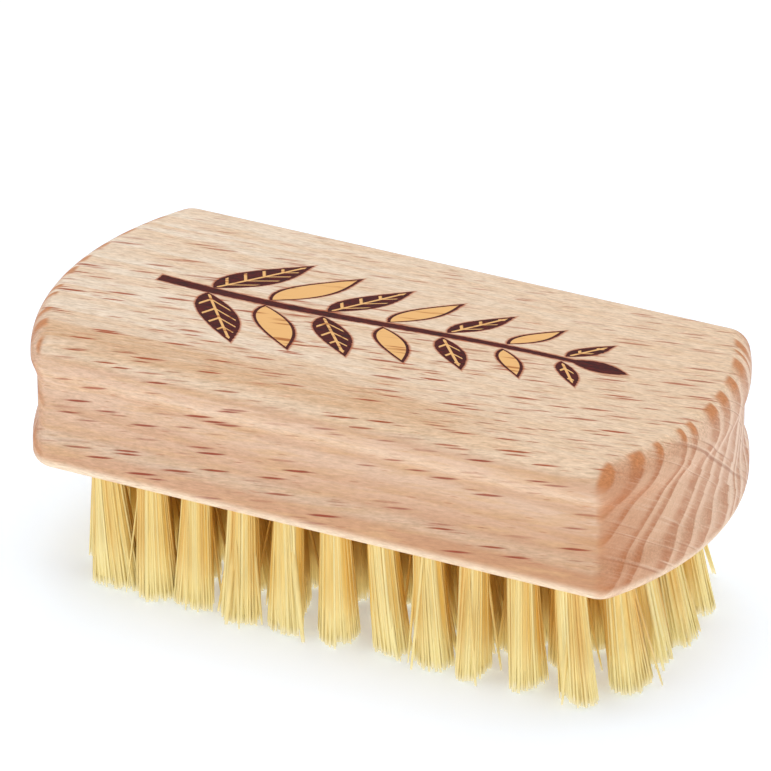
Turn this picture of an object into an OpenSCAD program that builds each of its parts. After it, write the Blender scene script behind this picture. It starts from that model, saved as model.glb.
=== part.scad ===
// Wooden nail brush: a moulded hardwood block with rows of drilled blind holes.
// Each hole holds one tuft of plant fibre, folded in half round a flat wire anchor.
// The brush stands on its bristle tips. X runs along the block, Z is up.
// The origin is under the middle of the block, on the plane of the tips.

/* [Block] */
// Length of the block, from the middle of one bowed end to the other
block_length = 95; // [80:1:110]
// Width of the block
block_width = 45; // [38:1:60]
// Height of the block
block_height = 19.5; // [16:0.5:26]
// How far the middle of an end bows out past its corners
end_bow = 6.5; // [4:0.5:10]
// Radius of the upright corners, seen from above
corner_radius = 3.5; // [2:0.1:6]

/* [Moulding] */
// How far the top roundover reaches in from the side
top_round_in = 3.1; // [1:0.1:4]
// How far the top roundover reaches down the side
top_round_down = 3; // [1:0.1:4]
// How far the bottom roundover reaches in from the side
bottom_round_in = 2.3; // [1:0.1:3]
// How far the bottom roundover reaches up the side
bottom_round_up = 2.3; // [1:0.1:3]
// Depth of the finger groove that runs all the way round
groove_depth = 0.8; // [0.3:0.1:1.5]
// Flat land between the bottom roundover and the groove
land_below_groove = 1.3; // [0.5:0.1:3]
// Flat land between the groove and the top roundover
land_above_groove = 0.5; // [0.3:0.1:3]

/* [Bristles] */
// Length of the bristles below the block
bristle_length = 18.2; // [12:0.2:26]
// Distance between neighbouring tufts along a row
tuft_pitch = 6.7; // [6.4:0.1:8]
// Distance between neighbouring rows
row_pitch = 6.5; // [6.4:0.1:8]
// Least distance from a side of the block to the middle of a hole
side_margin = 6; // [5:0.25:9]
// Least distance from a bowed end of the block to the middle of a hole
end_margin = 8.6; // [6:0.2:12]
// How far the tips of the outermost tufts splay out past their holes
fan_out = 1.2; // [0:0.1:2]

/* [Holes] */
// Diameter of a drilled hole
hole_diameter = 4.3; // [4:0.1:4.8]
// Depth of a drilled hole, to the start of the drill point
hole_depth = 9; // [6:0.5:12]
// Angle of the drill point
drill_point_angle = 118; // [90:1:140]

/* [Anchors] */
// Thickness of the flat anchor wire
anchor_thickness = 0.4; // [0.3:0.05:0.6]
// Height of the flat anchor wire, along the hole
anchor_height = 1.4; // [1:0.1:2]
// How far each end of an anchor bites into the wood beside the hole
anchor_bite = 0.4; // [0.2:0.1:0.6]
// Thickness of the folded fibre over an anchor
fold_thickness = 1.2; // [0.8:0.1:2]

/* [Strands] */
// Strands round the middle one of a tuft
ring_strands = 6; // [4:1:6]
// Distance from the middle of a strand to its corners, where it leaves the hole
strand_root_radius = 0.6; // [0.4:0.05:0.65]
// Distance from the middle of a strand to its corners, at its tip
strand_tip_radius = 0.85; // [0.5:0.05:0.9]
// Distance from the middle of a tuft to its ring of strands, in the hole
ring_root_offset = 1.25; // [1.2:0.05:1.3]
// Distance from the middle of a tuft to its ring of strands, at the tips
ring_tip_offset = 1.95; // [1.8:0.05:2.05]
// How far a strand's tip strays from its regular place
strand_stray = 0.15; // [0:0.05:0.2]

/* [Hidden] */
// Clearance between a tuft and its hole
root_clearance = 0.05;
// Clearance all round an anchor, in the fibre folded over it and in the wood that it bites into
anchor_clearance = 0.03;
// Packed fibre ends this far inside the mouth of its hole
root_setback = 0.3;
// Length of each strand that is fused into the packed fibre
strand_overlap = 1;
// Cuts run past the faces that they open by this much
cut_overrun = 1;
// The cutter of an upright corner starts this far outside the side and the end, to cross both cleanly
corner_lead = 0.02;

// Bowed ends: an arc through both corners and the middle of the end
half_length = block_length / 2;
half_width = block_width / 2;
end_radius = (half_width * half_width + end_bow * end_bow) / (2 * end_bow);
end_centre = half_length - end_radius;

// An upright corner touches the straight side and the end arc from inside
corner_y = half_width - corner_radius;
corner_angle = asin(corner_y / (end_radius - corner_radius));
corner_x = end_centre + (end_radius - corner_radius) * cos(corner_angle);

// Moulding profile: two quarter ellipses with the groove between them
round_steps = 8;
groove_steps = 12;
groove_even_share = 0.46;
top_reach = min(top_round_in, corner_radius - corner_lead);
bottom_reach = min(bottom_round_in, corner_radius - corner_lead);
groove_low = bottom_round_up + land_below_groove;
groove_high = block_height - top_round_down - land_above_groove;
groove_middle = (groove_low + groove_high) / 2;
groove_half_height = (groove_high - groove_low) / 2;

// Levels above the tips
block_bottom = bristle_length;
anchor_bottom = block_bottom + hole_depth - fold_thickness - anchor_height;
anchor_length = hole_diameter + 2 * anchor_bite;
root_radius = hole_diameter / 2 - root_clearance;

// As many rows as the width takes
rows = floor((block_width - 2 * side_margin) / row_pitch) + 1;

// Turn of the strands from one tuft to the next, and from one row to the next
tuft_turn = 42;
row_turn = 18;

// Finish colours
beech_colour = "#E3BE98";
fibre_colour = "#DDBE78";
wire_colour = "#B9A46A";

row_names = [for (row = [1:rows]) str("tuft_row_", row)];
anchor_names = [for (row = [1:rows]) str("anchor_row_", row)];
$fn = 96;

// Depth of the groove at a share of its half height from its middle: even, then half a cosine wave
function groove_at(share) =
    share <= groove_even_share ? groove_depth
    : groove_depth * (1 + cos(180 * (share - groove_even_share) / (1 - groove_even_share))) / 2;

// Moulding from the bottom face to the top face, as [inset from the side, height above the bottom]
function moulding() = concat(
    [for (i = [0:round_steps])
        let (a = 90 * i / round_steps)
        [bottom_reach * (1 - sin(a)), bottom_round_up * (1 - cos(a))]],
    [for (i = [0:groove_steps])
        let (share = 2 * i / groove_steps - 1)
        [groove_at(abs(share)), groove_middle + share * groove_half_height]],
    [for (i = [0:round_steps])
        let (a = 90 * i / round_steps)
        [top_reach * (1 - cos(a)), block_height - top_round_down * (1 - sin(a))]]
);

// Cross-section of the moulded bar
module bar_section() {
    edge = moulding();
    polygon(concat(
        [for (p = edge) [half_width - p[0], p[1]]],
        [for (i = [len(edge) - 1:-1:0]) [edge[i][0] - half_width, edge[i][1]]]
    ));
}

// Moulded bar, longer than the block by an overrun at each end
module bar() {
    translate([-half_length - cut_overrun, 0, 0])
        rotate([90, 0, 90])
            linear_extrude(2 * (half_length + cut_overrun))
                bar_section();
}

// Disc with the moulding turned round its rim, taller than the block by an overrun each way
module moulded_disc(reach) {
    edge = moulding();
    rotate_extrude()
        polygon(concat(
            [[0, -cut_overrun], [reach - bottom_reach, -cut_overrun]],
            [for (p = edge) [reach - p[0], p[1]]],
            [[reach - top_reach, block_height + cut_overrun], [0, block_height + cut_overrun]]
        ));
}

// What is routed off one end of the bar, outside its bowed end
module end_waste() {
    translate([end_centre, 0, 0])
        difference() {
            translate([0, -block_width, -cut_overrun / 2])
                cube([end_radius + 2 * cut_overrun, 2 * block_width, block_height + cut_overrun]);
            moulded_disc(end_radius);
        }
}

// What is routed off one upright corner, between the straight side and the bowed end
module corner_waste() {
    far = 3 * corner_radius;
    translate([corner_x, corner_y, 0])
        difference() {
            translate([0, 0, -cut_overrun / 2])
                linear_extrude(block_height + cut_overrun)
                    polygon([
                        [0, 0],
                        [far * cos(corner_angle), far * sin(corner_angle)],
                        [far, far],
                        [0, far]
                    ]);
            moulded_disc(corner_radius + corner_lead);
        }
}

// Moulded block before drilling, on its bottom face
module blank() {
    difference() {
        difference() {
            bar();
            for (end = [0, 1])
                mirror([end, 0, 0])
                    end_waste();
        }
        for (end = [0, 1])
            for (side = [0, 1])
                mirror([end, 0, 0])
                    mirror([0, side, 0])
                        corner_waste();
    }
}

// Places of the holes: as many in each row as its length between the bowed ends takes
function row_y(row) = (row - (rows + 1) / 2) * row_pitch;
function row_reach(row) = end_centre + sqrt(end_radius * end_radius - row_y(row) * row_y(row)) - end_margin;
function row_tufts(row) = floor(2 * row_reach(row) / tuft_pitch) + 1;
function tuft_x(row, i) = (i - (row_tufts(row) - 1) / 2) * tuft_pitch;
function row_end(row) = tuft_x(row, row_tufts(row) - 1);

// Flat wire anchor, driven across the bottom of its hole
module anchor() {
    translate([-anchor_length / 2, -anchor_thickness / 2, anchor_bottom])
        cube([anchor_length, anchor_thickness, anchor_height]);
}

// Room that an anchor takes in fibre and wood
module anchor_room() {
    translate([
        -anchor_length / 2 - anchor_clearance,
        -anchor_thickness / 2 - anchor_clearance,
        anchor_bottom - anchor_clearance
    ])
        cube([
            anchor_length + 2 * anchor_clearance,
            anchor_thickness + 2 * anchor_clearance,
            anchor_height + 2 * anchor_clearance
        ]);
}

// Blind hole with its drill point and the bites of its anchor
module drilled_hole() {
    point_height = hole_diameter / 2 / tan(drill_point_angle / 2);
    translate([0, 0, block_bottom - cut_overrun])
        cylinder(d = hole_diameter, h = hole_depth + cut_overrun);
    translate([0, 0, block_bottom + hole_depth])
        cylinder(d1 = hole_diameter, d2 = 0, h = point_height);
    anchor_room();
}

// Packed fibre in a hole, with the passage of its anchor
module packed_root() {
    difference() {
        translate([0, 0, block_bottom + root_setback])
            cylinder(r = root_radius, h = hole_depth - root_setback - root_clearance);
        anchor_room();
    }
}

// Three-sided strand from its place in the hole down to its place on the plane of the tips
module strand(root, tip, turn) {
    root_level = block_bottom + root_setback + strand_overlap;
    spokes = [for (k = [0:2]) [cos(turn + 120 * k), sin(turn + 120 * k)]];
    corners = concat(
        [for (spoke = spokes) [each (tip + strand_tip_radius * spoke), 0]],
        [for (spoke = spokes) [each (root + strand_root_radius * spoke), root_level]]
    );
    polyhedron(corners, [
        [0, 1, 2], [5, 4, 3],
        [0, 3, 4], [0, 4, 1],
        [1, 4, 5], [1, 5, 2],
        [2, 5, 3], [2, 3, 0]
    ]);
}

// How far a tip splays outwards, for a tuft at this share of the way from the middle to the edge
function splay(share) = fan_out * pow(share, 3);

// One tuft: packed fibre and its strands, trimmed flat on the plane of the tips
module tuft(row, i) {
    longest_row_end = max([for (k = [1:rows]) row_end(k)]);
    lean = [splay(tuft_x(row, i) / longest_row_end), splay(row_y(row) / row_y(rows))];
    stray = rands(-strand_stray, strand_stray, 2 * ring_strands + 2, 100 * row + i);
    turn = tuft_turn * i + row_turn * row;
    translate([tuft_x(row, i), row_y(row), 0]) {
        packed_root();
        strand([0, 0], lean + [stray[0], stray[1]], turn);
        for (k = [1:ring_strands]) {
            angle = turn + 360 * k / ring_strands;
            out = [cos(angle), sin(angle)];
            wander = [stray[2 * k], stray[2 * k + 1]];
            strand(ring_root_offset * out, lean + ring_tip_offset * out + wander, angle);
        }
    }
}

module block() {
    color(beech_colour)
        difference() {
            translate([0, 0, block_bottom])
                blank();
            for (row = [1:rows])
                for (i = [0:row_tufts(row) - 1])
                    translate([tuft_x(row, i), row_y(row), 0])
                        drilled_hole();
        }
}

module tuft_row(row) {
    color(fibre_colour)
        for (i = [0:row_tufts(row) - 1])
            tuft(row, i);
}

module anchor_row(row) {
    color(wire_colour)
        for (i = [0:row_tufts(row) - 1])
            translate([tuft_x(row, i), row_y(row), 0])
                anchor();
}

block();
for (row = [1:rows]) tuft_row(row);
for (row = [1:rows]) anchor_row(row);
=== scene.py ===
# %% [markdown]
# A wooden nail brush, dressed for the render.
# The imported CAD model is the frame: every piece below sits where that frame says.
# The block of beech and the tufts of plant fibre are rebuilt finer than their CAD solids,
# and the flat wire anchors keep their CAD shape and get a metal finish.
# Lengths in this file are written in millimetres and turned to metres once, in each mesh.

import math

import bmesh
import bpy
import numpy as np
from mathutils import Matrix, Vector


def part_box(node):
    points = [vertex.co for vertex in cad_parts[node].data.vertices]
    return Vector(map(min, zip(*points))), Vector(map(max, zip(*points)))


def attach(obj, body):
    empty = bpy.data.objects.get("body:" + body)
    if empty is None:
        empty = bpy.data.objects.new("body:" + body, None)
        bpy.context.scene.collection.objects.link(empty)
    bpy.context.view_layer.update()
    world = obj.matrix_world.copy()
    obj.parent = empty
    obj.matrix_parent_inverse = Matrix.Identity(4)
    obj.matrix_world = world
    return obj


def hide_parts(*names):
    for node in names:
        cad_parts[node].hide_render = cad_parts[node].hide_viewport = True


MM = 0.001

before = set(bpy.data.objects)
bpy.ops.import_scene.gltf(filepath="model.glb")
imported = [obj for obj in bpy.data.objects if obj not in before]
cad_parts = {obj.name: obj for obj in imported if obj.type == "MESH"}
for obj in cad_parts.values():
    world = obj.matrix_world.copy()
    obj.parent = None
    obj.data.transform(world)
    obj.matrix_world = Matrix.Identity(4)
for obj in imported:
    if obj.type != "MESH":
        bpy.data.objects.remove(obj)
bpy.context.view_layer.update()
block_low, block_high = (np.array(corner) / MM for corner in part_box("block"))
print("block in mm:", block_low.round(2).tolist(), block_high.round(2).tolist())

# %% [markdown]
# A few small tools carry the whole scene.
# Colours are written as the hex values that a paint chart gives, and Blender's shaders
# work in linear light, so linear() turns one into the other.
# node() adds a node with its settings and links, and returns the output that is used next.

# %% Colours and nodes


def linear(hex_colour):
    """sRGB hex to linear RGBA: c/12.92 below 0.04045, and ((c + 0.055)/1.055)^2.4 above it."""
    channels = [int(hex_colour[i:i + 2], 16) / 255 for i in (1, 3, 5)]
    turned = [c / 12.92 if c <= 0.04045 else ((c + 0.055) / 1.055) ** 2.4 for c in channels]
    return (*turned, 1.0)


def node(tree, kind, values=(), output=0, **settings):
    """Adds a node, applies its settings, fills or links its inputs, and returns one output if it has any."""
    made = tree.nodes.new(kind)
    for name, value in settings.items():
        setattr(made, name, value)
    pairs = values.items() if isinstance(values, dict) else enumerate(values)
    for key, value in pairs:
        if isinstance(value, bpy.types.NodeSocket):
            tree.links.new(value, made.inputs[key])
        else:
            made.inputs[key].default_value = value
    return made.outputs[output] if made.outputs else None


def new_material(name):
    """An empty node material and its tree."""
    material = bpy.data.materials.new(name)
    material.use_nodes = True
    material.node_tree.nodes.clear()
    return material, material.node_tree


def new_object(name, data):
    """An object with this mesh, lamp or lens, linked to the scene."""
    piece = bpy.data.objects.new(name, data)
    bpy.context.scene.collection.objects.link(piece)
    return piece


MATHS = "ShaderNodeMath"
VECTOR = "ShaderNodeVectorMath"
NOISE = "ShaderNodeTexNoise"
CELLS = "ShaderNodeTexVoronoi"
BLEND = "ShaderNodeMix"
STEP = "ShaderNodeMapRange"
SPLIT = "ShaderNodeSeparateXYZ"
JOIN = "ShaderNodeCombineXYZ"
RANDOM = "ShaderNodeTexWhiteNoise"
SURFACE = "ShaderNodeOutputMaterial"

# Settings that many nodes share: soft shoulders of a step, a blend of two colours, a product,
# and a product plus a third value.
SMOOTH = {"interpolation_type": "SMOOTHSTEP"}
RGBA = {"output": 2, "data_type": "RGBA"}
TIMES = {"operation": "MULTIPLY"}
TIMES_PLUS = {"operation": "MULTIPLY_ADD"}


def band(tree, value, climb, fall, weight=1.0):
    """This weight where a value lies in a band and 0 outside it. The weight climbs over one span of
    values and falls over another, with soft shoulders."""
    rising = node(tree, STEP, {0: value, 1: climb[0], 2: climb[1], 4: weight}, **SMOOTH)
    falling = node(tree, STEP, {0: value, 1: fall[0], 2: fall[1]}, **SMOOTH)
    return node(tree, MATHS, (rising, falling), **TIMES)


# %% [markdown]
# A product photograph is taken with a long lens, which keeps the brush's edges nearly parallel.
# The camera stands 943.6 mm from the brush, 26 degrees round from its long side and 28 degrees up,
# and the whole picture is only 6 degrees wide.
# Its place is written as three directions: back to the camera, right and up in the picture.

# %% Camera
PICTURE_SIDE = 771
FOCAL_PIXELS = 7185.0
SENSOR = 36.0
TURN, LIFT = math.radians(26.24), math.radians(28.18)
DISTANCE = 943.6
SLIDE_RIGHT, SLIDE_UP = -0.634, 10.085

back = np.array([math.sin(TURN) * math.cos(LIFT), -math.cos(TURN) * math.cos(LIFT), math.sin(LIFT)])
right = np.array([math.cos(TURN), math.sin(TURN), 0.0])
up = np.cross(back, right)
aim = np.array([0.0, 0.0, block_low[2]])
eye = aim + back * DISTANCE + right * SLIDE_RIGHT + up * SLIDE_UP

lens = bpy.data.cameras.new("studio_camera")
lens.sensor_width = SENSOR
lens.lens = FOCAL_PIXELS / PICTURE_SIDE * SENSOR
lens.clip_start = 0.05
lens.clip_end = 20.0
camera = new_object("studio_camera", lens)
turned = Matrix([(right[i], up[i], back[i]) for i in range(3)]).to_4x4()
camera.matrix_world = Matrix.Translation(eye * MM) @ turned
bpy.context.scene.camera = camera
print("camera lens mm:", round(lens.lens, 1), "eye mm:", eye.round(1).tolist())

# %% [markdown]
# The brush stands on a white table in an even, soft light, as in a light tent. The table is a sheet
# of white acrylic, lit from below, which is usual for small goods: its light reaches in between
# the tufts, where the block keeps the sky out, and so does a low lamp in front of the brush.
# Table, sky and lamps share the light out, so that a face of the brush gets about as much as it would
# from a plain white sky, and colours render as they are written.
# The camera and reflections see the table fainter than it shines, and a little cooler, which takes
# out the warm light that wood and straw throw on it. So it shows white, and keeps its shadow.
# Far out it fades into the white of the sky, and from below it is clear. So no edge and no horizon
# shows from any side, and the brush can be looked at from underneath.

# %% Table, sky and lamps


def grid_mesh(name, points, faces):
    """A mesh object from an array of points in mm and a list or array of faces."""
    mesh = bpy.data.meshes.new(name)
    mesh.from_pydata((np.asarray(points) * MM).tolist(), [], [list(map(int, f)) for f in faces])
    mesh.update()
    return new_object(name, mesh)


def seen_ray(tree):
    """1 for what the camera sees, straight, mirrored or through glass, and 0 for all other light."""
    seen = 0.0
    for kind in ("Camera", "Glossy", "Transmission"):
        ray = node(tree, "ShaderNodeLightPath", output=f"Is {kind} Ray")
        seen = node(tree, MATHS, (seen, ray), operation="MAXIMUM")
    return seen


TABLE_REACH = 1500.0
FADE_START, FADE_END = 240.0, 600.0
TABLE_GLOW = -0.39
TABLE_LIGHT = 0.7
SKY_STRENGTH = 0.42

table_corners = TABLE_REACH * np.array([(-1, -1, 0), (1, -1, 0), (1, 1, 0), (-1, 1, 0)])
table = grid_mesh("table", table_corners, [(0, 1, 2, 3)])
acrylic, tree = new_material("white_acrylic")
seen = seen_ray(tree)
white = node(tree, BLEND, {0: seen, 6: linear("#DBDDDF"), 7: linear("#E9F3FC")}, **RGBA)
matt = node(tree, "ShaderNodeBsdfDiffuse", {"Color": white}, output="BSDF")
glow = node(tree, MATHS, (seen, TABLE_GLOW, TABLE_LIGHT), **TIMES_PLUS)
cool = node(tree, BLEND, {0: seen, 6: linear("#FFFFFF"), 7: linear("#EEF1FC")}, **RGBA)
shine = node(tree, "ShaderNodeEmission", {"Color": cool, "Strength": glow})
both = node(tree, "ShaderNodeAddShader", (matt, shine))
spot = node(tree, "ShaderNodeTexCoord", output="Object")
away = node(tree, VECTOR, (spot,), output="Value", operation="LENGTH")
far = node(tree, STEP, {0: away, 1: FADE_START * MM, 2: FADE_END * MM}, **SMOOTH)
far = node(tree, MATHS, (far, seen), **TIMES)
sky_white = node(tree, "ShaderNodeEmission", {"Color": (1, 1, 1, 1), "Strength": 1.0})
both = node(tree, "ShaderNodeMixShader", (far, both, sky_white))
below = node(tree, "ShaderNodeNewGeometry", output="Backfacing")
clear = node(tree, "ShaderNodeBsdfTransparent")
both = node(tree, "ShaderNodeMixShader", (below, both, clear))
node(tree, SURFACE, {"Surface": both})
table.data.materials.append(acrylic)

world = bpy.data.worlds.new("studio_sky")
world.use_nodes = True
bpy.context.scene.world = world
tree = world.node_tree
tree.nodes.clear()
strength = node(tree, BLEND, {0: seen_ray(tree), 2: SKY_STRENGTH, 3: 1.0}, data_type="FLOAT")
sky = node(tree, "ShaderNodeBackground", {"Color": (1, 1, 1, 1), "Strength": strength})
node(tree, "ShaderNodeOutputWorld", {"Surface": sky})


def soft_lamp(name, place, side, share):
    """A square lamp aimed at the brush. At distance d a power of share x pi^2 x d^2 lights a white
    sheet that faces it to this share of full white."""
    light = bpy.data.lights.new(name, "AREA")
    light.size = side * MM
    place = np.array(place, dtype=float)
    away = float(np.linalg.norm(place)) * MM
    light.energy = share * math.pi ** 2 * away ** 2
    lamp = new_object(name, light)
    toward = Vector(place * MM)
    lamp.matrix_world = Matrix.Translation(toward) @ toward.to_track_quat("Z", "Y").to_matrix().to_4x4()


soft_lamp("overhead", (0, 150, 1400), 1400, 0.64)
soft_lamp("window_left", (-820, -420, 220), 900, 0.15)
soft_lamp("low_front", (250, -850, 120), 500, 0.1)
soft_lamp("fill_right", (800, -240, 300), 800, 0.1)
print("table, sky and four lamps are placed")

# %% [markdown]
# The block is shaped on a spindle moulder, as such brushes are: one cutter with two roundovers and
# a shallow cove runs all the way round the blank.
# So the side is one profile carried along the block's outline: two straight sides, two bowed ends
# and four upright corners. An outline point moves inwards along its own normal by the profile's inset,
# and since every inset is smaller than the corner radius, the surface never folds.

# %% Outline and moulding
LENGTH, WIDTH, HEIGHT = (block_high - block_low).tolist()
BOTTOM = float(block_low[2])
END_BOW = 6.5
CORNER_RADIUS = 3.5
TOP_IN, TOP_DOWN = 3.1, 3.0
FOOT_IN, FOOT_UP = 2.3, 2.3
GROOVE_DEPTH = 0.8
GROOVE_LOW, GROOVE_HIGH = 3.6, 16.0
GROOVE_EVEN = 0.46

end_radius = ((WIDTH / 2) ** 2 + END_BOW ** 2) / (2 * END_BOW)
end_centre = LENGTH / 2 - end_radius
corner_y = WIDTH / 2 - CORNER_RADIUS
corner_turn = math.asin(corner_y / (end_radius - CORNER_RADIUS))
corner_x = end_centre + (end_radius - CORNER_RADIUS) * math.cos(corner_turn)


def on_circle(angle):
    """Points of a circle of radius 1 at these angles."""
    return np.stack([np.cos(angle), np.sin(angle)], axis=-1)


def outline():
    """Points and outward normals round the block, counter-clockwise from above.
    A quarter is half of a bowed end, a corner arc and half of a straight side, and the other three
    quarters are that one mirrored."""
    bow = np.linspace(0, corner_turn, 40)[:-1]
    corner = np.linspace(corner_turn, math.pi / 2, 22)
    side = np.linspace(corner_x, 0, 40)[1:]
    angle = np.concatenate([bow, corner, np.full(len(side), math.pi / 2)])
    normal = on_circle(angle)
    point = np.concatenate([
        (end_centre, 0) + end_radius * on_circle(bow),
        (corner_x, corner_y) + CORNER_RADIUS * on_circle(corner),
        np.stack([side, np.full(len(side), WIDTH / 2)], axis=1),
    ])
    left = slice(-2, None, -1)
    point = np.concatenate([point, point[left] * (-1, 1)])
    normal = np.concatenate([normal, normal[left] * (-1, 1)])
    inner = slice(-2, 0, -1)
    return np.concatenate([point, point[inner] * (1, -1)]), np.concatenate([normal, normal[inner] * (1, -1)])


def moulding():
    """Inset and height above the block's bottom: a quarter ellipse, the cove, a quarter ellipse.
    The cove is even in its middle 46%, and leaves each side over half a cosine wave."""
    turn = np.linspace(0, math.pi / 2, 15)
    foot = np.stack([FOOT_IN * (1 - np.sin(turn)), FOOT_UP * (1 - np.cos(turn))], axis=1)
    share = np.linspace(-1, 1, 41)
    slope = np.clip((np.abs(share) - GROOVE_EVEN) / (1 - GROOVE_EVEN), 0, 1)
    depth = GROOVE_DEPTH * (1 + np.cos(math.pi * slope)) / 2
    middle, half = (GROOVE_LOW + GROOVE_HIGH) / 2, (GROOVE_HIGH - GROOVE_LOW) / 2
    cove = np.stack([depth, middle + half * share], axis=1)
    head = np.stack([TOP_IN * (1 - np.cos(turn)), HEIGHT - TOP_DOWN * (1 - np.sin(turn))], axis=1)
    return np.concatenate([foot, cove, head])


edge, edge_normal = outline()
profile = moulding()
print("outline points:", len(edge), "profile points:", len(profile))

# %% [markdown]
# The holes for the tufts stand in six rows, as many in each row as fits between the bowed ends.
# Their places follow the same rule as the drilling plan of the CAD model,
# and each hole is a real one: a small break at its mouth, a wall 9 mm deep and the cone of the drill.

# %% Drilling plan
ROW_PITCH, TUFT_PITCH = 6.5, 6.7
SIDE_MARGIN, END_MARGIN = 6.0, 8.6
HOLE_RADIUS, HOLE_DEPTH = 2.15, 9.0
DRILL_POINT = HOLE_RADIUS / math.tan(math.radians(59))
MOUTH_BREAK = 0.12

ROWS = int((WIDTH - 2 * SIDE_MARGIN) // ROW_PITCH) + 1
row_y = (np.arange(ROWS) - (ROWS - 1) / 2) * ROW_PITCH
row_reach = end_centre + np.sqrt(end_radius ** 2 - row_y ** 2) - END_MARGIN
row_count = (2 * row_reach // TUFT_PITCH).astype(int) + 1
row_x = [(np.arange(n) - (n - 1) / 2) * TUFT_PITCH for n in row_count]
holes = np.array([(x, y) for y, xs in zip(row_y, row_x) for x in xs])
print("tufts in each row:", row_count.tolist(), "in all:", len(holes))

# %% Block mesh
HOLE_SIDES = 28
SHARP_ANGLE = math.radians(32)


def walls_between(ring, side, after, step):
    """Four-sided faces from each side of a ring to the side after it and to the next ring, whose points
    are numbered one step further on."""
    corners = (ring + side, ring + step + side, ring + step + after, ring + after)
    return np.stack(corners, axis=3).reshape(-1, 4)


def block_mesh():
    """The side is a grid of outline by profile, and the flat top is one face round its last ring.
    Each hole is a ring at its mouth, two rings along its wall and the point of the drill."""
    across, around = len(profile), len(edge)
    side = edge[:, None, :] - edge_normal[:, None, :] * profile[None, :, 0, None]
    level = np.broadcast_to(BOTTOM + profile[:, 1], (around, across))
    points = np.concatenate([side, level[:, :, None]], axis=2).reshape(-1, 3)
    here = np.arange(around)[:, None] * across + np.arange(across - 1)
    after = np.roll(here, -1, axis=0)
    faces = np.stack([here, after, after + 1, here + 1], axis=2).reshape(-1, 4).tolist()
    faces.append((np.arange(around) * across + across - 1).tolist())

    turn = np.arange(HOLE_SIDES) * 2 * math.pi / HOLE_SIDES
    ring = on_circle(turn)
    depth = np.array([0, MOUTH_BREAK, HOLE_DEPTH])
    reach = np.array([HOLE_RADIUS + MOUTH_BREAK, HOLE_RADIUS, HOLE_RADIUS])
    wall = ring[None, :, None, :] * reach[None, None, :, None] + holes[:, None, None, :]
    rise = np.broadcast_to(BOTTOM + depth, wall.shape[:3])
    first = len(points)
    walls = np.concatenate([wall, rise[..., None]], axis=3).reshape(-1, 3)
    tips = np.column_stack([holes, np.full(len(holes), BOTTOM + HOLE_DEPTH + DRILL_POINT)])
    points = np.concatenate([points, walls, tips])
    hole = first + np.arange(len(holes))[:, None, None] * HOLE_SIDES * 3
    one = np.arange(HOLE_SIDES)[None, :, None] * 3
    two = (np.arange(HOLE_SIDES) + 1)[None, :, None] % HOLE_SIDES * 3
    span = np.arange(2)[None, None, :]
    faces += walls_between(hole + span, one, two, 1).tolist()
    point = first + len(holes) * HOLE_SIDES * 3 + np.arange(len(holes))[:, None, None]
    cone = np.stack(np.broadcast_arrays(hole + one + 2, point, hole + two + 2), axis=3)
    faces += cone.reshape(-1, 3).tolist()
    return points, faces


def close_bottom(piece):
    """Fills the flat bottom between the outline and the mouths of the holes, which are the only
    open edges, then turns every face outwards and keeps the arrises of the holes crisp."""
    shape = bmesh.new()
    shape.from_mesh(piece.data)
    rim = [line for line in shape.edges if line.is_boundary]
    bmesh.ops.triangle_fill(shape, use_beauty=True, edges=rim, normal=(0, 0, -1))
    bmesh.ops.recalc_face_normals(shape, faces=shape.faces)
    still_open = sum(line.is_boundary for line in shape.edges)
    shape.to_mesh(piece.data)
    shape.free()
    piece.data.shade_smooth()
    piece.data.set_sharp_from_angle(angle=SHARP_ANGLE)
    return still_open


block = grid_mesh("block_moulded", *block_mesh())
print("block faces:", len(block.data.polygons), "open edges:", close_bottom(block))
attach(block, "root")
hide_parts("block")

# %% [markdown]
# Oiled, fine-sanded European beech. A board of it is a stack of growth rings, and thin sheets of
# ray cells stand across the rings like pages. Cut along the grain, the rays show as the short
# red-brown flecks that tell beech from other woods. Cut across it, they are fine pale lines.
# End grain drinks more oil, so it turns darker and redder, most of all where a roundover cuts it aslant.
# One solid pattern gives all of this: it is worked out in the wood's own directions, along the grain,
# out across the rings and along the rays, so every face shows what a cut there would show.

# %% Wood directions
# Rings and rays as the end grain shows them: rays fall 37 degrees towards the back. The grain
# isn't quite in line with the block: it climbs 8 degrees along the rings, as in most stems.
ACROSS_RINGS = (-0.02, 0.799, -0.602)
ACROSS_RAYS = (-0.14, 0.602, 0.799)
RING_SPACING = 3.05

beech, tree = new_material("beech_oiled")
place = node(tree, "ShaderNodeTexCoord", output="Object")
place = node(tree, VECTOR, (place, (1000.0, 1000.0, 1000.0)), **TIMES)
place = node(tree, VECTOR, (place, (0.0, 0.0, BOTTOM)), operation="SUBTRACT")
facing = node(tree, "ShaderNodeTexCoord", output="Normal")
along, across, height = (node(tree, SPLIT, (place,), output=axis) for axis in "XYZ")
flat_rings = node(tree, VECTOR, (place, ACROSS_RINGS), output="Value", operation="DOT_PRODUCT")
flat_rays = node(tree, VECTOR, (place, ACROSS_RAYS), output="Value", operation="DOT_PRODUCT")

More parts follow.
